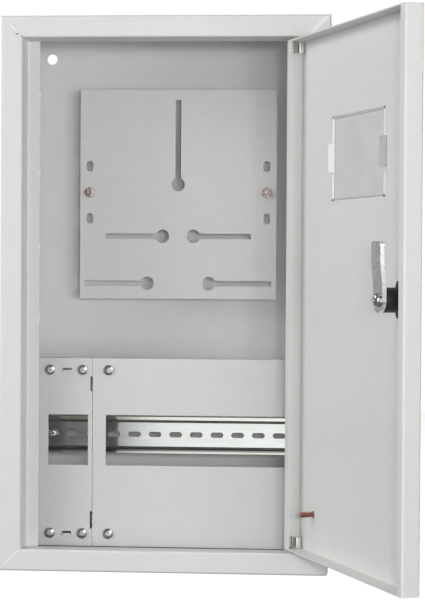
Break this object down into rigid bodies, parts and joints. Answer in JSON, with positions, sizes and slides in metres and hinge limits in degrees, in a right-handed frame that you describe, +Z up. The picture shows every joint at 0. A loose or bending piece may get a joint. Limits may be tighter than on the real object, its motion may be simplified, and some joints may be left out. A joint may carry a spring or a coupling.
{
  "type": "electric meter box",
  "caption": "Wall-mounted sheet-steel meter box with an inset hinged door, a keyhole meter plate, and a slotted rail behind screwed covers with module windows.",
  "frame": {"origin": "middle of the four wall holes, on the back face of the box", "axes": "+X to the right seen from the front, +Y into the wall, +Z up"},
  "size_m": [0.3746, 0.3805, 0.51],
  "materials": {
    "paint": "light grey powder coat, fine texture",
    "zinc": "bright zinc plate",
    "copper": "copper-coated weld stud",
    "black_plastic": "black satin",
    "clear_plastic": "clear moulded plastic"
  },
  "bodies": {
    "case": {"enclosure_body": "paint", "meter_plate": "paint", "plate_bracket_left": "paint", "plate_bracket_right": "paint", "left_cover": "paint", "right_cover": "paint", "cover_bar_top": "paint", "cover_bar_bottom": "paint", "rail_bracket_left": "paint", "rail_bracket_right": "paint", "plate_washers": "zinc", "plate_nuts": "zinc", "left_cover_screws": "zinc", "right_cover_screws": "zinc", "din_rail": "zinc", "rail_screws": "zinc", "plate_studs": "copper"},
    "door": {"door_panel": "paint", "door_window": "clear_plastic", "hinge_barrel_top": "zinc", "hinge_barrel_bottom": "zinc", "hinge_pin_top": "zinc", "hinge_pin_bottom": "zinc", "lock_body": "black_plastic", "lock_nut": "black_plastic", "door_earth_stud": "copper"},
    "lock": {"lock_rotor": "zinc", "lock_cam": "zinc", "cam_washer": "zinc", "cam_screw": "zinc"}
  },
  "joints": [
    {"name": "door_hinge", "type": "hinge", "parent": "case", "child": "door", "pos_m": [0.1228, -0.1445, 0], "axis": [0, 0, 1], "range_deg": [-112.5, 2]},
    {"name": "lock_turn", "type": "hinge", "parent": "door", "child": "lock", "pos_m": [0.20883, -0.35219, 0.0002], "axis": [0.9239, 0.3827, 0], "range_deg": [0, 90]}
  ]
}
